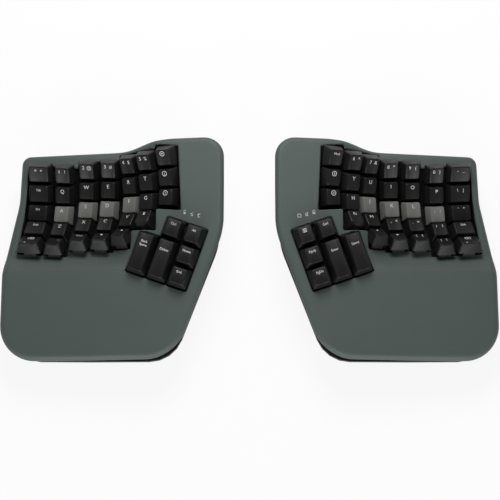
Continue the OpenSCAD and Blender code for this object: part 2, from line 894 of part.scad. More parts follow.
// The origin lies under the middle of the keyboard
set_back = 1.8;
module right() translate([0, set_back, 0]) children();
module left() mirror([1, 0, 0]) right() children();

left() top_case();  // left_top_case
left() bottom_case();  // left_bottom_case
left() key_well();  // left_key_well
left() thumb_plate();  // left_thumb_plate
left() switch_bodies();  // left_switch_bodies
left() circuit_boards();  // left_circuit_boards
left() battery();  // left_battery
left() usb_port();  // left_usb_port
left() power_knob();  // left_power_knob
left() indicator_lights();  // left_indicator_lights
left() case_screws();  // left_case_screws
left() tent_base();  // left_tent_base
left() hinge_pin();  // left_hinge_pin
left() tent_button();  // left_tent_button
left() rubber_feet();  // left_rubber_feet
left() finger_keys(0);  // left_number_finger_keys
left() finger_keys(1);  // left_upper_finger_keys
left() finger_keys(2);  // left_home_finger_keys
left() finger_keys(3);  // left_lower_finger_keys
left() finger_keys(4);  // left_bottom_finger_keys
left() index_keys(0);  // left_number_index_keys
left() index_keys(1);  // left_upper_index_keys
left() index_keys(2);  // left_home_index_keys
left() index_keys(3);  // left_lower_index_keys
left() index_keys(4);  // left_bottom_index_key
left() thumb_key([0]);  // left_thumb_outer_long_key
left() thumb_key([1]);  // left_thumb_inner_long_key
left() thumb_key([2, 3]);  // left_thumb_upper_keys
left() thumb_key([4]);  // left_thumb_middle_key
left() thumb_key([5]);  // left_thumb_lower_key
right() top_case();  // right_top_case
right() bottom_case();  // right_bottom_case
right() key_well();  // right_key_well
right() thumb_plate();  // right_thumb_plate
right() switch_bodies();  // right_switch_bodies
right() circuit_boards();  // right_circuit_boards
right() battery();  // right_battery
right() usb_port();  // right_usb_port
right() power_knob();  // right_power_knob
right() indicator_lights();  // right_indicator_lights
right() case_screws();  // right_case_screws
right() tent_base();  // right_tent_base
right() hinge_pin();  // right_hinge_pin
right() tent_button();  // right_tent_button
right() rubber_feet();  // right_rubber_feet
right() finger_keys(0);  // right_number_finger_keys
right() finger_keys(1);  // right_upper_finger_keys
right() finger_keys(2);  // right_home_finger_keys
right() finger_keys(3);  // right_lower_finger_keys
right() finger_keys(4);  // right_bottom_finger_keys
right() index_keys(0);  // right_number_index_keys
right() index_keys(1);  // right_upper_index_keys
right() index_keys(2);  // right_home_index_keys
right() index_keys(3);  // right_lower_index_keys
right() index_keys(4);  // right_bottom_index_key
right() thumb_key([0]);  // right_thumb_outer_long_key
right() thumb_key([1]);  // right_thumb_inner_long_key
right() thumb_key([2, 3]);  // right_thumb_upper_keys
right() thumb_key([4]);  // right_thumb_middle_key
right() thumb_key([5]);  // right_thumb_lower_key
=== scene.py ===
import math
import bmesh
import bpy
from mathutils import Matrix, Vector


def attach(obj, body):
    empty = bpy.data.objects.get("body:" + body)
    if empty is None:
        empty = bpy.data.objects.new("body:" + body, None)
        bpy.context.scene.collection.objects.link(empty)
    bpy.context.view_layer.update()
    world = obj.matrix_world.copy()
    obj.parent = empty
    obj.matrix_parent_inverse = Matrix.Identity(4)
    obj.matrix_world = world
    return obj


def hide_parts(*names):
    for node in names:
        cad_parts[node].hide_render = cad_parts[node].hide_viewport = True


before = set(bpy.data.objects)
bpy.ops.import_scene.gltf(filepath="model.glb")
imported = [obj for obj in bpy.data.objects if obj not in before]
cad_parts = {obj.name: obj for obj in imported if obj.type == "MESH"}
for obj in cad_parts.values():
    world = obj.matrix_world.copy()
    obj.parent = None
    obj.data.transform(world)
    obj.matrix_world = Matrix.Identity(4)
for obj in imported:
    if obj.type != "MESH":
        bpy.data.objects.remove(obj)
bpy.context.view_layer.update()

mm = 0.001
setBack = 1.8                 # both halves stand this far behind the lines they are drawn on
sides = {"left": -1, "right": 1}
scene = bpy.context.scene
scene.view_settings.view_transform = "Standard"
print("frame loaded:", len(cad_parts), "nodes")


# shader nodes as expressions: a Wire is one output socket
class Wire:
    def __init__(self, socket):
        self.socket = socket
        self.tree = socket.id_data

    def node(self, kind, settings, sockets, out=0):
        made = self.tree.nodes.new(kind)
        for key, value in settings.items():
            setattr(made, key, value)
        for key, value in sockets.items():
            if isinstance(value, Wire):
                self.tree.links.new(value.socket, made.inputs[key])
            else:
                made.inputs[key].default_value = value
        return Wire(made.outputs[out]) if len(made.outputs) else None

    def maths(self, operation, first, second):
        return self.node("ShaderNodeMath", {"operation": operation}, {0: first, 1: second})

    def __add__(self, other):
        return self.maths("ADD", self, other)

    def __radd__(self, other):
        return self.maths("ADD", other, self)

    def __sub__(self, other):
        return self.maths("SUBTRACT", self, other)

    def __rsub__(self, other):
        return self.maths("SUBTRACT", other, self)

    def __mul__(self, other):
        return self.maths("MULTIPLY", self, other)

    def __rmul__(self, other):
        return self.maths("MULTIPLY", other, self)


def startMaterial(name):
    made = bpy.data.materials.new(name)
    made.use_nodes = True
    made.node_tree.nodes.clear()
    spot = made.node_tree.nodes.new("ShaderNodeTexCoord")
    return made, Wire(spot.outputs["Object"])


def noise(spot, scale, detail):
    return spot.node("ShaderNodeTexNoise", {}, {"Vector": spot, "Scale": scale, "Detail": detail})


def mixColour(factor, first, second):
    return factor.node("ShaderNodeMix", {"data_type": "RGBA"}, {0: factor, 6: first, 7: second}, 2)


def shade(colour, share):
    return tuple(c * share for c in colour) + (1.0,)


# moulded plastic: spark-eroded grain, faint mottling, and patches polished by hands
def mouldedPlastic(name, look):
    made, spot = startMaterial(name)
    grain = noise(spot, look["grainScale"], 2.0)
    mottle = noise(spot, look["mottleScale"], 4.0)
    polish = noise(spot, look["polishScale"], 3.0)
    tone = mottle * 0.6 + grain * 0.4
    low, high = shade(look["colour"], 1 - look["spread"]), shade(look["colour"], 1 + look["spread"])
    rough = look["rough"] + (polish - 0.5) * look["roughSpread"]
    bump = spot.node(
        "ShaderNodeBump", {}, {"Strength": look["bump"], "Distance": look["bumpDeep"], "Height": grain}
    )
    surface = spot.node(
        "ShaderNodeBsdfPrincipled", {},
        {
            "Base Color": mixColour(tone, low, high), "Roughness": rough, "Normal": bump,
            "Specular IOR Level": look["gloss"],
        },
    )
    spot.node("ShaderNodeOutputMaterial", {}, {"Surface": surface})
    return made


# drawn or rolled metal: fine streaks along one axis
streakForm = {"dark": 0.88, "pale": 1.1, "roughSpread": 0.2, "bump": 0.15, "bumpDeep": 0.00005}


def streakedMetal(name, look):
    made, spot = startMaterial(name)
    stretched = spot.node("ShaderNodeMapping", {}, {"Vector": spot, "Scale": look["stretch"]})
    streak = noise(stretched, look["scale"], 3.0)
    low, high = shade(look["colour"], streakForm["dark"]), shade(look["colour"], streakForm["pale"])
    bump = spot.node(
        "ShaderNodeBump", {},
        {"Strength": streakForm["bump"], "Distance": streakForm["bumpDeep"], "Height": streak},
    )
    surface = spot.node(
        "ShaderNodeBsdfPrincipled", {},
        {
            "Base Color": mixColour(streak, low, high),
            "Metallic": 1.0,
            "Roughness": look["rough"] + (streak - 0.5) * streakForm["roughSpread"],
            "Normal": bump,
        },
    )
    spot.node("ShaderNodeOutputMaterial", {}, {"Surface": surface})
    return made


plasticLooks = {
    "casePlastic": {
        "colour": (0.059, 0.078, 0.072), "spread": 0.10, "gloss": 0.45, "rough": 0.56, "roughSpread": 0.10,
        "grainScale": 1900.0, "mottleScale": 26.0, "polishScale": 9.0, "bump": 0.22, "bumpDeep": 0.00008,
    },
    "caseFloorPlastic": {
        "colour": (0.032, 0.036, 0.036), "spread": 0.10, "gloss": 0.4, "rough": 0.6, "roughSpread": 0.1,
        "grainScale": 1900.0, "mottleScale": 26.0, "polishScale": 9.0, "bump": 0.22, "bumpDeep": 0.00008,
    },
    "wellPlastic": {
        "colour": (0.006, 0.0062, 0.0066), "spread": 0.2, "gloss": 0.25, "rough": 0.62, "roughSpread": 0.1,
        "grainScale": 1500.0, "mottleScale": 40.0, "polishScale": 12.0, "bump": 0.15, "bumpDeep": 0.00006,
    },
    "capCharcoal": {
        "colour": (0.0065, 0.0065, 0.0066), "spread": 0.16, "gloss": 0.32, "rough": 0.42, "roughSpread": 0.12,
        "grainScale": 2600.0, "mottleScale": 60.0, "polishScale": 55.0, "bump": 0.2, "bumpDeep": 0.00005,
    },
    "capGrey": {
        "colour": (0.142, 0.141, 0.132), "spread": 0.08, "gloss": 0.4, "rough": 0.52, "roughSpread": 0.1,
        "grainScale": 2600.0, "mottleScale": 60.0, "polishScale": 55.0, "bump": 0.2, "bumpDeep": 0.00005,
    },
    "legendPaint": {
        "colour": (0.62, 0.63, 0.62), "spread": 0.06, "gloss": 0.3, "rough": 0.5, "roughSpread": 0.1,
        "grainScale": 3000.0, "mottleScale": 90.0, "polishScale": 60.0, "bump": 0.1, "bumpDeep": 0.00002,
    },
    "basePlastic": {
        "colour": (0.0085, 0.0085, 0.009), "spread": 0.15, "gloss": 0.4, "rough": 0.55, "roughSpread": 0.12,
        "grainScale": 1700.0, "mottleScale": 30.0, "polishScale": 10.0, "bump": 0.2, "bumpDeep": 0.00007,
    },
    "switchPlastic": {
        "colour": (0.012, 0.011, 0.010), "spread": 0.15, "gloss": 0.4, "rough": 0.4, "roughSpread": 0.1,
        "grainScale": 2400.0, "mottleScale": 80.0, "polishScale": 50.0, "bump": 0.1, "bumpDeep": 0.00004,
    },
    "boardMask": {
        "colour": (0.006, 0.035, 0.016), "spread": 0.2, "gloss": 0.5, "rough": 0.35, "roughSpread": 0.12,
        "grainScale": 1200.0, "mottleScale": 300.0, "polishScale": 70.0, "bump": 0.15, "bumpDeep": 0.00005,
    },
    "footRubber": {
        "colour": (0.011, 0.011, 0.011), "spread": 0.2, "gloss": 0.2, "rough": 0.86, "roughSpread": 0.1,
        "grainScale": 1300.0, "mottleScale": 70.0, "polishScale": 30.0, "bump": 0.35, "bumpDeep": 0.0001,
    },
    "lensMilk": {
        "colour": (0.5, 0.52, 0.52), "spread": 0.06, "gloss": 0.5, "rough": 0.28, "roughSpread": 0.08,
        "grainScale": 900.0, "mottleScale": 120.0, "polishScale": 60.0, "bump": 0.05, "bumpDeep": 0.00003,
    },
}
metalLooks = {
    "screwSteel": {"colour": (0.52, 0.52, 0.53), "rough": 0.34, "scale": 500.0, "stretch": (1.0, 1.0, 6.0)},
    "portSteel": {"colour": (0.6, 0.6, 0.61), "rough": 0.26, "scale": 900.0, "stretch": (1.0, 0.12, 1.0)},
    "pouchFoil": {"colour": (0.55, 0.56, 0.57), "rough": 0.42, "scale": 240.0, "stretch": (0.3, 1.0, 1.0)},
}
finish = {name: mouldedPlastic(name, look) for name, look in plasticLooks.items()}
finish.update({name: streakedMetal(name, look) for name, look in metalLooks.items()})
print("finishes:", len(finish))


# mesh helpers
sharpEdge = 14.0              # degrees: steeper edges than this stay sharp
cornerShare = 0.45            # most of an outline's edge that one rounded corner may take
leastReach = 0.05


def addObject(name, bm, materials, body, nodes):
    mesh = bpy.data.meshes.new(name)
    bm.to_mesh(mesh)
    bm.free()
    return placeMesh(name, mesh, materials, body, nodes)


def placeMesh(name, mesh, materials, body, nodes):
    for material in materials:
        mesh.materials.append(finish[material])
    mesh.polygons.foreach_set("use_smooth", [True] * len(mesh.polygons))
    mesh.set_sharp_from_angle(angle=math.radians(sharpEdge))
    made = bpy.data.objects.new(name, mesh)
    scene.collection.objects.link(made)
    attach(made, body)
    if nodes:
        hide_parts(*nodes)
    return made


def take(bm, other, place, paint):
    for face in other.faces:
        face.material_index = paint
    bmesh.ops.transform(other, matrix=place, verts=other.verts)
    loose = bpy.data.meshes.new("loose")
    other.to_mesh(loose)
    other.free()
    bm.from_mesh(loose)
    bpy.data.meshes.remove(loose)


# case top: the palm rest, sunk to the hollow around the finger keys
caseForm = {
    "crown": 67.0, "crownAt": (30.0, 95.0), "fallOut": 0.09, "fallFront": 0.08,
    "hollowUp": 40.5, "hollowFall": 0.06, "middleFinger": 125.0,
    "hollowFrom": 91.0, "hollowSkew": 0.12, "hollowRun": 34.0,
    "crease": -21.5, "creaseRun": 14.0, "creaseSoft": 0.08,
    "edgeRound": 5.0, "edgeSteps": 9, "wall": 2.0, "wallSlope": 5.0, "footShift": (2.5, 1.5), "seam": 15.0,
    "grid": 3.6, "gridOut": (6, 61), "gridBack": (-28, 28), "edgeStep": 5.0,
    "corners": [
        (22.5, 96, 18), (22.3, 55, 90), (22.5, 12, 60), (64, -99, 36), (140, -99.4, 90),
        (217, -99, 32), (217, -18, 105), (205.5, 44, 60), (205, 88, 8), (118, 90.5, 70), (70, 95.6, 70),
    ],
}


def ramp(t):
    u = max(0.0, min(1.0, t))
    return u * u * (3 - 2 * u)


def softStep(t, soft):                 # a straight ramp with its two ends rounded off
    def corner(u):
        return 0.0 if u < -soft else u if u > soft else (u + soft) ** 2 / (4 * soft)
    return corner(t) - corner(t - 1)


def skin(x, y):
    f = caseForm
    palm = f["crown"] - f["fallOut"] * (x - f["crownAt"][0]) - f["fallFront"] * (f["crownAt"][1] - y)
    hollow = f["hollowUp"] - f["hollowFall"] * (x - f["middleFinger"])
    across = ramp((x - f["hollowFrom"] + f["hollowSkew"] * y) / f["hollowRun"])
    sunk = across * softStep((y - f["crease"]) / f["creaseRun"], f["creaseSoft"])
    return palm + sunk * (hollow - palm)


def roundedFace(bm, corners, step):
    verts = [bm.verts.new((c[0], c[1], 0)) for c in corners]
    face = bm.faces.new(verts)
    count = len(corners)
    for i, vert in enumerate(verts):
        here, radius = Vector(corners[i][:2]), corners[i][2]
        one = Vector(corners[i - 1][:2]) - here
        two = Vector(corners[(i + 1) % count][:2]) - here
        half = one.angle(two) / 2
        reach = min(radius / math.tan(half), cornerShare * min(one.length, two.length))
        if reach < leastReach:
            continue
        arc = radius * (math.pi - 2 * half)
        bmesh.ops.bevel(
            bm, geom=[vert], offset=reach, offset_type="OFFSET", affect="VERTICES",
            segments=max(2, int(arc / step) + 3), profile=0.5, material=-1,
        )
    bm.faces.ensure_lookup_table()
    for edge in list(bm.edges):
        cuts = int(edge.calc_length() / step)
        if cuts > 0:
            bmesh.ops.subdivide_edges(bm, edges=[edge], cuts=cuts)
    bm.faces.ensure_lookup_table()
    face = bm.faces[0]
    if face.normal.z < 0:
        face.normal_flip()
    return face


def caseShell():
    f = caseForm
    bm = bmesh.new()
    face = roundedFace(bm, f["corners"], f["edgeStep"])
    for vert in face.verts:
        vert.co.z = -f["edgeRound"]
    last = 0.0
    for k in range(1, f["edgeSteps"] + 1):     # round the top edge with shrinking insets
        turn = math.pi / 2 * k / f["edgeSteps"]
        reach = f["edgeRound"] * (1 - math.cos(turn))
        bmesh.ops.inset_region(
            bm, faces=[face], thickness=reach - last, use_even_offset=True, use_boundary=True,
        )
        for vert in face.verts:
            vert.co.z = -f["edgeRound"] * (1 - math.sin(turn))
        last = reach
    cuts = [((k * f["grid"], 0, 0), (1, 0, 0)) for k in range(*f["gridOut"])]
    cuts += [((0, k * f["grid"], 0), (0, 1, 0)) for k in range(*f["gridBack"])]
    for spot, normal in cuts:                  # grid lines over the flat of the top
        flat = [g for g in bm.faces if all(v.co.z > -1e-6 for v in g.verts)]
        geom = flat + list({e for g in flat for e in g.edges}) + list({v for g in flat for v in g.verts})
        bmesh.ops.bisect_plane(bm, geom=geom, dist=1e-4, plane_co=spot, plane_no=normal)
    grown = bmesh.ops.extrude_edge_only(bm, edges=[e for e in bm.edges if e.is_boundary])
    foot = {g for g in grown["geom"] if isinstance(g, bmesh.types.BMVert)}
    footSpots = {}
    for vert in foot:                          # walls lean in towards their foot
        loop = [e.other_vert(vert) for e in vert.link_edges if e.other_vert(vert) in foot]
        along = (loop[0].co - loop[1].co).normalized()
        inward = Vector((-along.y, along.x, 0))
        if inward.dot(Vector((f["middleFinger"], 0.0, vert.co.z)) - vert.co) < 0:
            inward = -inward
        footSpots[vert] = vert.co + inward * f["wallSlope"] + Vector((*f["footShift"], 0))
    for vert in bm.verts:
        if vert not in footSpots:
            vert.co.z += skin(vert.co.x, vert.co.y)
    for vert, spot in footSpots.items():
        vert.co = Vector((spot.x, spot.y, f["seam"]))
    bmesh.ops.triangulate(bm, faces=[g for g in bm.faces if len(g.verts) > 4])
    bmesh.ops.recalc_face_normals(bm, faces=bm.faces)
    bmesh.ops.scale(bm, vec=(mm, mm, mm), verts=bm.verts)
    bmesh.ops.translate(bm, vec=(0, setBack * mm, 0), verts=bm.verts)
    return bm


# where each key stands: columns from the innermost one, rows from the number row
keyLayout = {
    "pitch": 18.9, "thumbPitch": 19.05, "rowTilt": (30, 21, 8, -21, -39), "capTilt": (8, 4, 0, -2, -9),
    "indexLean": 24.0, "fingerLean": 8.0, "splay": 5.0, "lastRow": (2, 3, 4, 4, 4, 4, 4),
    "units": (1, 1, 1, 1, 1, 1, 1.25),
    "out": (70.5, 88.0, 103.5, 125.6, 144.9, 166.3, 187.7),
    "back": (43.0, 40.5, 40.5, 38.0, 37.5, 34.0, 35.7),
    "up": (49.7, 44.0, 34.5, 29.5, 28.5, 27.3, 26.3),
    "thumbAt": (71.9, -6.0, 56.5), "thumbTurn": 20.0, "thumbTilt": 4.5, "thumbLean": 6.5,
    "thumbKeys": ((1, -0.5), (0, -0.5), (0, 1), (-1, 1), (-1, 0), (-1, -1)),
}


def turned(axis, angle):
    return Matrix.Rotation(math.radians(angle), 4, axis)


def rowSeat(row):
    tilt = [math.radians(t) for t in keyLayout["rowTilt"]]
    y = z = 0.0
    for a in (range(row, 2) if row < 2 else range(2, row)):
        sign = 1 if row < 2 else -1
        y += sign * keyLayout["pitch"] / 2 * (math.cos(tilt[a]) + math.cos(tilt[a + 1]))
        z += sign * keyLayout["pitch"] / 2 * (math.sin(tilt[a]) + math.sin(tilt[a + 1]))
    return y, z


def keyPlace(side, column, row):
    k = keyLayout
    lean = k["indexLean"] if column < 3 else k["fingerLean"]
    y, z = rowSeat(row)
    return (
        Matrix.Translation((side * k["out"][column], k["back"][column] + setBack, k["up"][column]))
        @ turned("Z", side * k["splay"]) @ turned("Y", side * lean)
        @ Matrix.Translation((0, y, z)) @ turned("X", k["rowTilt"][row])
    )


def thumbPlace(side, spot):
    k = keyLayout
    x, y, z = k["thumbAt"]
    return (
        Matrix.Translation((side * x, y + setBack, z))
        @ turned("Y", side * k["thumbLean"]) @ turned("X", k["thumbTilt"])
        @ turned("Z", side * k["thumbTurn"])
        @ Matrix.Translation((side * spot[0] * k["thumbPitch"], spot[1] * k["thumbPitch"], 0))
    )


# openings in the case top, cut with a rounded rim that follows the surface
openingForm = {
    "skirt": 17.9, "outerGap": 1.2, "innerGap": 3.4,
    "rearGap": (2.6, 2.6, 2.6, -1, -1, -1, -1), "frontGap": (3.8, 1.6, 2.9, 0.2, -0.6, -0.6, -0.6),
    "rimRound": 0.7, "rimSteps": 4, "corner": 1.6, "step": 3.0, "leastStep": 2.2,
    "proud": 0.03, "deep": 9.0, "roof": 90.0, "pit": 14.0, "thumbMargin": 0.3,
    "thumbCorners": ((-1.5, -1.5), (1.5, -1.5), (1.5, 0.5), (0.5, 0.5), (0.5, 1.5), (-1.5, 1.5)),
}


def capWidth(units):
    return openingForm["skirt"] + (units - 1) * keyLayout["thumbPitch"]


def rimSpot(column, row, sx, sy):
    o = openingForm
    half = capWidth(keyLayout["units"][column]) / 2 + (o["outerGap"] if sx > 0 else o["innerGap"])
    front = o["frontGap"][column] if row == keyLayout["lastRow"][column] else 0
    gap = o["rearGap"][column] if sy > 0 else front
    spot = keyPlace(1, column, row) @ Vector((sx * half, sy * (o["skirt"] / 2 + gap), 0))
    return spot.x, spot.y - setBack


# one end of the well: straight runs with a step where two columns meet
def steppedEdge(ends, outward):
    loop = [ends[0][0]]
    for (a, b), (c, d) in zip(ends, ends[1:]):
        keep = outward * (b[1] - c[1]) > 0
        x = b[0] if keep else c[0]
        for one, two in ((a, b), (c, d)):
            loop.append((x, one[1] + (two[1] - one[1]) * (x - one[0]) / (two[0] - one[0])))
        if abs(loop[-1][1] - loop[-2][1]) < openingForm["leastStep"]:
            loop.pop()
    return loop + [ends[-1][1]]


def wellLoop():
    last = keyLayout["lastRow"]
    front = [[rimSpot(c, last[c], sx, -1) for sx in (-1, 1)] for c in range(7)]
    rear = [[rimSpot(c, 0, sx, 1) for sx in (-1, 1)] for c in range(7)]
    outer = [rimSpot(6, r, 1, -1) for r in (3, 2, 1)]
    return steppedEdge(front, -1) + outer + steppedEdge(rear, 1)[::-1]


def thumbLoop():
    o = openingForm
    reach = keyLayout["thumbPitch"]
    loop = []
    for x, y in o["thumbCorners"]:
        margin = [math.copysign(o["thumbMargin"], v) for v in (x, y)]
        spot = thumbPlace(1, (0, 0)) @ Vector((x * reach + margin[0], y * reach + margin[1], 0.0))
        loop.append((spot.x, spot.y - setBack))
    return loop


def pushOut(face, reach):                 # move a flat loop outward, in its own plane
    loop = [l.vert for l in face.loops]
    count = len(loop)
    spots = []
    for i, vert in enumerate(loop):
        along = (loop[(i + 1) % count].co - loop[i - 1].co).normalized()
        spots.append(vert.co + reach * Vector((along.y, -along.x, 0)))
    for vert, spot in zip(loop, spots):
        vert.co = spot


def grow(bm, face, keep=False):              # a copy of a face, joined to it by walls
    grown = bmesh.ops.extrude_face_region(bm, geom=[face])
    if not keep:
        bmesh.ops.delete(bm, geom=[face], context="FACES_ONLY")
    return [g for g in grown["geom"] if isinstance(g, bmesh.types.BMFace)][0]


def openingCutter(name, loop):
    o = openingForm
    bm = bmesh.new()
    face = roundedFace(bm, [(x, y, o["corner"]) for x, y in loop], o["step"])
    pushOut(face, o["rimRound"])
    roof = set(face.verts)
    face = grow(bm, face, True)
    for vert in face.verts:
        vert.co.z = o["proud"]
    last = 0.0
    for k in range(1, o["rimSteps"] + 1):
        turn = math.pi / 2 * k / o["rimSteps"]
        reach = o["rimRound"] * (1 - math.cos(turn))
        face = grow(bm, face)
        pushOut(face, last - reach)
        for vert in face.verts:
            vert.co.z = -o["rimRound"] * math.sin(turn)
        last = reach
    face = grow(bm, face)
    for vert in face.verts:
        vert.co.z = -o["deep"]
    pit = bmesh.ops.poke(bm, faces=[face])["verts"]
    for vert in bm.verts:
        if vert in roof:
            vert.co.z = o["roof"]
        elif vert in pit:
            vert.co.z = o["pit"]
        else:
            vert.co.z += skin(vert.co.x, vert.co.y)
    return looseCutter(name, bm)


def looseCutter(name, bm):
    bmesh.ops.triangulate(bm, faces=[g for g in bm.faces if len(g.verts) > 4])
    bmesh.ops.recalc_face_normals(bm, faces=bm.faces)
    bmesh.ops.scale(bm, vec=(mm, mm, mm), verts=bm.verts)
    bmesh.ops.translate(bm, vec=(0, setBack * mm, 0), verts=bm.verts)
    mesh = bpy.data.meshes.new(name)
    bm.to_mesh(mesh)
    bm.free()
    made = bpy.data.objects.new(name, mesh)
    scene.collection.objects.link(made)
    return made


# rear sockets: centre, size and corner of each hole, in the right half
socketHoles = {
    "usbHole": {"at": (50.0, 93.0, 25.7), "size": (10.6, 16.0, 5.0), "corner": 2.2},
    "knobHole": {"at": (68.5, 93.0, 26.0), "size": (7.8, 16.0, 3.2), "corner": 1.0},
}


def boxCutter(name, hole):
    bm = bmesh.new()
    bmesh.ops.create_cube(bm, size=1.0)
    bmesh.ops.scale(bm, vec=hole["size"], verts=bm.verts)
    lengthwise = [e for e in bm.edges if abs((e.verts[0].co - e.verts[1].co).y) > 1]
    bmesh.ops.bevel(
        bm, geom=lengthwise, offset=hole["corner"], offset_type="OFFSET", affect="EDGES",
        segments=5, profile=0.5, material=-1,
    )
    bmesh.ops.translate(bm, vec=hole["at"], verts=bm.verts)
    return looseCutter(name, bm)


def topCaseMesh():
    mesh = bpy.data.meshes.new("caseShell")
    bm = caseShell()
    bm.to_mesh(mesh)
    bm.free()
    shell = bpy.data.objects.new("caseShell", mesh)
    scene.collection.objects.link(shell)
    thick = shell.modifiers.new("wall", "SOLIDIFY")
    thick.thickness = caseForm["wall"] * mm
    thick.offset = -1.0
    cutters = [openingCutter("wellCutter", wellLoop()), openingCutter("thumbCutter", thumbLoop())]
    cutters += [boxCutter(name, hole) for name, hole in socketHoles.items()]
    for cutter in cutters:
        cut = shell.modifiers.new(cutter.name, "BOOLEAN")
        cut.operation = "DIFFERENCE"
        cut.solver = "EXACT"
        cut.object = cutter
    bpy.context.view_layer.update()
    done = bpy.data.meshes.new_from_object(shell.evaluated_get(bpy.context.evaluated_depsgraph_get()))
    for loose in cutters + [shell]:
        bpy.data.objects.remove(loose)
    return done


def mirrored(mesh, name):
    bm = bmesh.new()
    bm.from_mesh(mesh)
    bmesh.ops.scale(bm, vec=(-1, 1, 1), verts=bm.verts)
    bmesh.ops.reverse_faces(bm, faces=bm.faces)
    made = bpy.data.meshes.new(name)
    bm.to_mesh(made)
    bm.free()
    return made


rightCase = topCaseMesh()
leftCase = mirrored(rightCase, "leftTopCase")
placeMesh("rightTopCase", rightCase, ["casePlastic"], "right_case", ["right_top_case"])
placeMesh("leftTopCase", leftCase, ["casePlastic"], "left_case", ["left_top_case"])
print("case tops:", len(rightCase.polygons), "faces each")


# keycaps
capForm = {
    "topWidth": 12.4, "topDepth": 13.8, "height": 8.5, "wall": 1.4, "dish": 0.45,
    "corner": 1.7, "lip": 0.75, "strips": 8, "roof": 3.0,
    "bossRadius": 2.9, "bossFoot": 3.0, "sliderWide": 6.0, "sliderFoot": -6.0, "sliderEdge": 0.4, "gap": 0.03,
}


def capSizes(units, length):
    width, depth = capWidth(units), capWidth(length)
    taper = openingForm["skirt"] - capForm["topWidth"], openingForm["skirt"] - capForm["topDepth"]
    return width, depth, width - taper[0], depth - taper[1]


def capTop(x, y, units, tilt):
    half = capSizes(units, 1)[2] / 2
    hollow = capForm["dish"] * max(0.0, 1 - (x / half) ** 2)
    return capForm["height"] - hollow + y * math.tan(math.radians(tilt))


def makeCap(units, length, tilt):
    c = capForm
    width, depth, topWidth, topDepth = capSizes(units, length)
    bm = bmesh.new()
    bmesh.ops.create_cube(bm, size=1.0)
    for vert in bm.verts:
        upper = vert.co.z > 0
        x = math.copysign((topWidth if upper else width) / 2, vert.co.x)
        y = math.copysign((topDepth if upper else depth) / 2, vert.co.y)
        vert.co = (x, y, c["height"] + y * math.tan(math.radians(tilt)) if upper else 0.0)
    posts = [e for e in bm.edges if abs(e.verts[0].co.z - e.verts[1].co.z) > c["height"] / 2]
    bmesh.ops.bevel(
        bm, geom=posts, offset=c["corner"], offset_type="OFFSET", affect="EDGES",
        segments=4, profile=0.5, material=-1,
    )
    bm.normal_update()
    under = min(bm.faces, key=lambda g: g.normal.z)
    bmesh.ops.inset_region(bm, faces=[under], thickness=c["wall"], use_even_offset=True, use_boundary=True)
    inner = grow(bm, under).verts
    ceiling = c["height"] - c["roof"]
    share = ceiling / c["height"]
    for vert in inner:
        vert.co.x *= 1 - share * (width - topWidth) / (width - 2 * c["wall"])
        vert.co.y *= 1 - share * (depth - topDepth) / (depth - 2 * c["wall"])
        vert.co.z = ceiling
    bm.normal_update()
    for k in range(1, c["strips"]):            # strips across the finger groove
        x = topWidth * (k / c["strips"] - 0.5)
        flat = [g for g in bm.faces if g.normal.z > 0.9 and g.calc_center_median().z > ceiling + 1]
        geom = flat + list({e for g in flat for e in g.edges}) + list({v for g in flat for v in g.verts})
        bmesh.ops.bisect_plane(bm, geom=geom, dist=1e-4, plane_co=(x, 0, 0), plane_no=(1, 0, 0))
        bm.normal_update()
    flat = {g for g in bm.faces if g.normal.z > 0.9 and g.calc_center_median().z > ceiling + 1}
    brim = [e for e in bm.edges if len([g for g in e.link_faces if g in flat]) == 1]
    for vert in {v for g in flat for v in g.verts}:
        vert.co.z -= c["dish"] * max(0.0, 1 - (2 * vert.co.x / topWidth) ** 2)
    bmesh.ops.bevel(
        bm, geom=brim, offset=c["lip"], offset_type="OFFSET", affect="EDGES",
        segments=3, profile=0.5, material=-1,
    )
    bmesh.ops.recalc_face_normals(bm, faces=bm.faces)
    return bm


def makeStem():
    c = capForm
    bm = bmesh.new()
    boss = bmesh.ops.create_cone(
        bm, cap_ends=True, segments=18, radius1=c["bossRadius"], radius2=c["bossRadius"],
        depth=c["height"] - c["roof"] - c["bossFoot"],
    )["verts"]
    bmesh.ops.translate(bm, vec=(0, 0, (c["height"] - c["roof"] + c["bossFoot"]) / 2), verts=boss)
    slider = bmesh.ops.create_cube(bm, size=1.0)["verts"]
    tall = c["bossFoot"] - c["gap"] - c["sliderFoot"]
    bmesh.ops.scale(bm, vec=(c["sliderWide"], c["sliderWide"], tall), verts=slider)
    bmesh.ops.translate(bm, vec=(0, 0, c["sliderFoot"] + tall / 2), verts=slider)
    corners = list({e for v in slider for e in v.link_edges})
    bmesh.ops.bevel(
        bm, geom=corners, offset=c["sliderEdge"], offset_type="OFFSET", affect="EDGES",
        segments=2, profile=0.5, material=-1,
    )
    return bm


# legends: raised print a few hundredths thick, laid on the groove of the cap
legendForm = {
    "letter": 4.6, "word": 3.0, "pair": 4.3, "pairApart": 2.6, "rearShare": 0.25, "thick": 0.04, "lift": 0.05,
    "middle": 0.36, "ringRadius": 2.3, "ringLine": 0.45, "digit": 3.0, "lineFeed": 3.2, "arrow": 1.5,
    "square": 2.5, "squareLine": 0.4, "squareApart": 0.9, "bar": 2.4, "barTall": 0.16, "barApart": 1.3,
    "wedge": 1.0, "wedgeTall": 0.8, "wedgeOut": -3.4, "wedgeShare": 0.36,
}


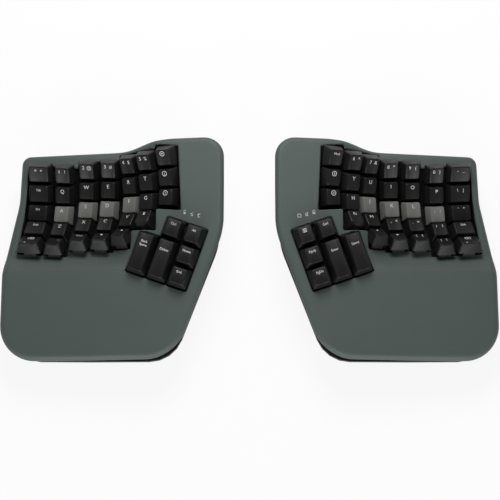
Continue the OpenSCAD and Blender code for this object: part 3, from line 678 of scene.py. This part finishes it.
def printedText(text, size):
    curve = bpy.data.curves.new("legend", "FONT")
    curve.body = text
    curve.size = size
    curve.align_x = "CENTER"
    curve.resolution_u = 3
    curve.extrude = legendForm["thick"]
    written = bpy.data.objects.new("legend", curve)
    mesh = bpy.data.meshes.new_from_object(written)
    bpy.data.objects.remove(written)
    bm = bmesh.new()
    bm.from_mesh(mesh)
    bpy.data.meshes.remove(mesh)
    bpy.data.curves.remove(curve)
    bmesh.ops.translate(bm, vec=(0, -legendForm["middle"] * size, 0), verts=bm.verts)   # capitals centred
    return bm


def printedRing(corners, radius, line, turn=0.0):
    bm = bmesh.new()
    bmesh.ops.create_circle(bm, cap_ends=True, radius=radius, segments=corners)
    bmesh.ops.rotate(bm, cent=(0, 0, 0), matrix=Matrix.Rotation(math.radians(turn), 3, "Z"), verts=bm.verts)
    bm.faces.ensure_lookup_table()
    middle = bm.faces[0]
    bmesh.ops.inset_region(bm, faces=[middle], thickness=line, use_even_offset=True, use_boundary=True)
    bmesh.ops.delete(bm, geom=[middle], context="FACES")
    return thickened(bm)


def printedDisc(corners, radius, turn=0.0, stretch=(1, 1, 1)):
    bm = bmesh.new()
    bmesh.ops.create_circle(bm, cap_ends=True, radius=radius, segments=corners)
    bmesh.ops.rotate(bm, cent=(0, 0, 0), matrix=Matrix.Rotation(math.radians(turn), 3, "Z"), verts=bm.verts)
    bmesh.ops.scale(bm, vec=stretch, verts=bm.verts)
    return thickened(bm)


def thickened(bm):
    for vert in bm.verts:
        vert.co.z = -legendForm["thick"]
    grown = bmesh.ops.extrude_face_region(bm, geom=list(bm.faces), use_keep_orig=True)
    raised = [g for g in grown["geom"] if isinstance(g, bmesh.types.BMVert)]
    bmesh.ops.translate(bm, vec=(0, 0, 2 * legendForm["thick"]), verts=raised)
    bmesh.ops.recalc_face_normals(bm, faces=bm.faces)
    return bm


def legendParts(legend, topDepth):
    f = legendForm
    rear = topDepth * f["rearShare"]
    if legend.startswith("ring "):
        parts = [(printedRing(20, f["ringRadius"], f["ringLine"]), 0, rear)]
        return parts + [(printedText(legend[5:], f["digit"]), 0, rear)]
    if legend == "layer":
        wedge = printedDisc(3, f["wedge"], 90, (1, f["wedgeTall"], 1))
        return [
            (printedRing(4, f["square"], f["squareLine"], 45), -f["squareApart"], rear),
            (printedRing(4, f["square"], f["squareLine"], 45), f["squareApart"], rear),
            (wedge, f["wedgeOut"], -topDepth * f["wedgeShare"]),
        ]
    if legend == "bars":
        bars = [rear + k * f["barApart"] for k in (-1, 0, 1)]
        return [(printedDisc(4, f["bar"], 45, (1, f["barTall"], 1)), 0, y) for y in bars]
    arrows = {"left": 180, "right": 0, "up": 90, "down": -90}
    if legend in arrows:
        return [(printedDisc(3, f["arrow"], arrows[legend]), 0, rear)]
    if " " in legend:
        first, second = legend.split(" ")
        if len(first) > 1:
            return [
                (printedText(first, f["word"]), 0, rear + f["lineFeed"] / 2),
                (printedText(second, f["word"]), 0, rear - f["lineFeed"] / 2),
            ]
        return [
            (printedText(first, f["pair"]), -f["pairApart"], rear),
            (printedText(second, f["pair"]), f["pairApart"], rear),
        ]
    return [(printedText(legend, f["letter"] if len(legend) == 1 else f["word"]), 0, rear)]


def addKey(bm, place, units, length, tilt, legend, grey):
    paint = 1 if grey else 0
    scaled = Matrix.Scale(mm, 4) @ place
    take(bm, makeCap(units, length, tilt), scaled, paint)
    take(bm, makeStem(), scaled, 3)
    for part, x, y in legendParts(legend, capSizes(units, length)[3]):
        for vert in part.verts:
            spot = Vector((vert.co.x + x, vert.co.y + y, vert.co.z))
            spot.z += capTop(spot.x, spot.y, units, tilt) + legendForm["lift"]
            vert.co = spot
        take(bm, part, scaled, 2)


keyLegends = {
    "left": [
        ["ring M", "ring 1", "ring 2"],
        ["5 %", "T", "G", "B"],
        ["4 $", "R", "F", "V", "right"],
        ["3 #", "E", "D", "C", "left"],
        ["2 @", "W", "S", "X", "Caps"],
        ["1 !", "Q", "A", "Z", "` ~"],
        ["= +", "Tab", "Esc", "Shift", "layer"],
    ],
    "right": [
        ["Mod", "ring 3", "ring 4"],
        ["6 ^", "Y", "H", "N"],
        ["7 &", "U", "J", "M", "up"],
        ["8 *", "I", "K", ", <", "down"],
        ["9 (", "O", "L", ". >", "[ {"],
        ["0 )", "P", "; :", "/ ?", "] }"],
        ["- _", "\\ |", "' \"", "Shift", "layer"],
    ],
}
thumbLegends = {
    "left": ["Back Space", "Delete", "Ctrl", "Alt", "Home", "End"],
    "right": ["Space", "Enter", "Ctrl", "bars", "PgUp", "PgDn"],
}
thumbNodes = {
    "thumb_outer_long_key": [0], "thumb_inner_long_key": [1], "thumb_upper_keys": [2, 3],
    "thumb_middle_key": [4], "thumb_lower_key": [5],
}
rowNames = ("number", "upper", "home", "lower", "bottom")
keyPaints = ["capCharcoal", "capGrey", "legendPaint", "switchPlastic"]


def pieceName(node):
    words = node.split("_")
    return words[0] + "".join(w.capitalize() for w in words[1:])


def finishKeys(bm, node):
    addObject(pieceName(node), bm, keyPaints, node, [node])


for sideName, side in sides.items():
    for row, rowName in enumerate(rowNames):
        for group, columns in (("finger", range(3, 7)), ("index", range(0, 3))):
            held = [c for c in columns if row <= keyLayout["lastRow"][c]]
            node = f"{sideName}_{rowName}_{group}_key" + ("s" if len(held) > 1 else "")
            bm = bmesh.new()
            for c in held:
                addKey(
                    bm, keyPlace(side, c, row), keyLayout["units"][c], 1, keyLayout["capTilt"][row],
                    keyLegends[sideName][c][row], row == 2 and 2 <= c <= 5,
                )
            finishKeys(bm, node)
    for name, held in thumbNodes.items():
        bm = bmesh.new()
        for k in held:
            place = thumbPlace(side, keyLayout["thumbKeys"][k])
            addKey(bm, place, 1, 2 if k < 2 else 1, 0, thumbLegends[sideName][k], False)
        finishKeys(bm, f"{sideName}_{name}")
print("keys done")


# indicator lights: small lit symbols in the case top
lightForm = {
    "at": (49.7, 25.6), "step": (-6.4, -1.7), "proud": 0.06,
    "radius": 1.7, "flare": 0.8, "stub": 3.0, "sunk": 0.2,
    "lock": 1.7, "lockTall": 0.8, "lockLow": -0.7, "shackle": 1.25, "shackleUp": 0.8, "line": 0.45,
    "wedge": 1.9, "wedgeUp": 0.1, "bar": 1.9, "barTall": 0.22, "barLow": -1.5,
    "square": 2.3, "squareLine": 0.55,
}


def makeLights(side):
    f = lightForm
    bm = bmesh.new()
    for k in (-1, 0, 1):
        x, y = f["at"][0] + k * f["step"][0], f["at"][1] + k * f["step"][1]
        top = Matrix.Translation((side * x, y + setBack, skin(x, y) + f["proud"]))
        marks = {
            -1: [
                (printedDisc(4, f["lock"], 45, (1, f["lockTall"], 1)), f["lockLow"]),
                (printedRing(14, f["shackle"], f["line"]), f["shackleUp"]),
            ],
            0: [
                (printedRing(3, f["wedge"], f["line"], 90), f["wedgeUp"]),
                (printedDisc(4, f["bar"], 45, (1, f["barTall"], 1)), f["barLow"]),
            ],
            1: [(printedRing(4, f["square"], f["squareLine"], 45), 0)],
        }[k]
        for part, dy in marks:
            bmesh.ops.translate(part, vec=(0, dy, 0), verts=part.verts)
            slope = [(skin(x + v.co.x, y + v.co.y) - skin(x, y)) for v in part.verts]
            for vert, rise in zip(part.verts, slope):
                vert.co.z += rise
            take(bm, part, Matrix.Scale(mm, 4) @ top, 0)
        pipe = bmesh.new()
        bmesh.ops.create_cone(
            pipe, cap_ends=True, segments=20, radius1=f["radius"] + f["flare"], radius2=f["radius"],
            depth=f["stub"],
        )
        middle = skin(x, y) - caseForm["wall"] - f["stub"] / 2 + f["sunk"]
        low = Matrix.Translation((side * x, y + setBack, middle))
        take(bm, pipe, Matrix.Scale(mm, 4) @ low, 0)
    return bm


for sideName, side in sides.items():
    node = f"{sideName}_indicator_lights"
    addObject(pieceName(node), makeLights(side), ["lensMilk"], f"{sideName}_case", [node])
print("indicator lights done")


# CAD nodes that stay as they are, each with its own finish
nodeFinish = {
    "bottom_case": "caseFloorPlastic", "key_well": "wellPlastic", "thumb_plate": "wellPlastic",
    "switch_bodies": "switchPlastic", "circuit_boards": "boardMask", "battery": "pouchFoil",
    "usb_port": "portSteel", "power_knob": "basePlastic", "case_screws": "screwSteel",
    "tent_base": "basePlastic", "hinge_pin": "screwSteel", "tent_button": "basePlastic",
    "rubber_feet": "footRubber",
}
for sideName in sides:
    for name, look in nodeFinish.items():
        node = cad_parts[f"{sideName}_{name}"]
        node.data.materials.clear()
        node.data.materials.append(finish[look])
print("carried-over nodes finished")


# floor: pale to the camera, and it keeps a faint shadow
floorLook = {"size": 4.0, "colour": (0.86, 0.87, 0.87, 1.0), "white": 0.88}


def makeFloor():
    bm = bmesh.new()
    bmesh.ops.create_grid(bm, x_segments=2, y_segments=2, size=floorLook["size"])
    mesh = bpy.data.meshes.new("floor")
    bm.to_mesh(mesh)
    bm.free()
    made, spot = startMaterial("floorPaper")
    rays = spot.node("ShaderNodeLightPath", {}, {}).socket.node.outputs
    seen = Wire(rays["Is Camera Ray"]) + Wire(rays["Is Glossy Ray"]) + Wire(rays["Is Transmission Ray"])
    paper = spot.node("ShaderNodeBsdfDiffuse", {}, {"Color": floorLook["colour"]})
    glow = spot.node("ShaderNodeEmission", {}, {"Color": (1, 1, 1, 1), "Strength": 1.0})
    mixed = spot.node("ShaderNodeMixShader", {}, {0: seen * floorLook["white"], 1: paper, 2: glow})
    spot.node("ShaderNodeOutputMaterial", {}, {"Surface": mixed})
    mesh.materials.append(made)
    floor = bpy.data.objects.new("floor", mesh)
    scene.collection.objects.link(floor)


makeFloor()

# studio: a room with pale walls and a dim ceiling, a lamp over the rear edge and two low ones in front
studio = {
    "walls": 0.6, "ceiling": 0.04, "fade": 0.7,
    "lamps": {
        "rearLamp": {"at": (0.0, 0.5, 0.66), "aim": (0.0, 0.0, 0.04), "size": 0.5, "watts": 5.7},
        "leftLamp": {"at": (-0.45, -1.25, 0.46), "aim": (-0.1, 0.0, 0.04), "size": 0.7, "watts": 8.0},
        "rightLamp": {"at": (0.45, -1.25, 0.46), "aim": (0.1, 0.0, 0.04), "size": 0.7, "watts": 8.0},
    },
}


def makeStudio():
    world = bpy.data.worlds.new("room")
    scene.world = world
    world.use_nodes = True
    world.node_tree.nodes.clear()
    ray = Wire(world.node_tree.nodes.new("ShaderNodeLightPath").outputs["Is Camera Ray"])
    facing = Wire(world.node_tree.nodes.new("ShaderNodeTexCoord").outputs["Generated"])
    height = ray.node("ShaderNodeSeparateXYZ", {}, {"Vector": facing}, "Z")
    upward = ray.maths("MAXIMUM", height, 0.0)
    dimmer = ray.maths("POWER", upward, studio["fade"])
    room = studio["walls"] + dimmer * (studio["ceiling"] - studio["walls"])
    strength = room + ray * (1 - room)
    glow = ray.node("ShaderNodeBackground", {}, {"Color": (1, 1, 1, 1), "Strength": strength})
    ray.node("ShaderNodeOutputWorld", {}, {"Surface": glow})
    for name, lamp in studio["lamps"].items():
        data = bpy.data.lights.new(name, "AREA")
        data.shape = "DISK"
        data.size = lamp["size"]
        data.energy = lamp["watts"]
        made = bpy.data.objects.new(name, data)
        made.location = lamp["at"]
        made.rotation_mode = "QUATERNION"
        made.rotation_quaternion = (Vector(lamp["aim"]) - Vector(lamp["at"])).to_track_quat("-Z", "Y")
        scene.collection.objects.link(made)


makeStudio()

# camera at the photograph's angle
cameraForm = {
    "target": (0.0, 0.0018, 0.035), "elevation": 74.0, "distance": 1.1,
    "lens": 89.7, "sensor": 36.0, "shift": (0.001, 0.0001),
}


def makeCamera():
    c = cameraForm
    data = bpy.data.cameras.new("camera")
    data.lens = c["lens"]
    data.sensor_width = c["sensor"]
    data.shift_x, data.shift_y = c["shift"]
    made = bpy.data.objects.new("camera", data)
    up = math.radians(c["elevation"])
    back = Vector((0, -math.cos(up), math.sin(up)))
    made.location = Vector(c["target"]) + back * c["distance"]
    made.rotation_mode = "QUATERNION"
    made.rotation_quaternion = (-back).to_track_quat("-Z", "Y")
    scene.collection.objects.link(made)
    scene.camera = made


makeCamera()
print("stage set")

bpy.context.view_layer.update()
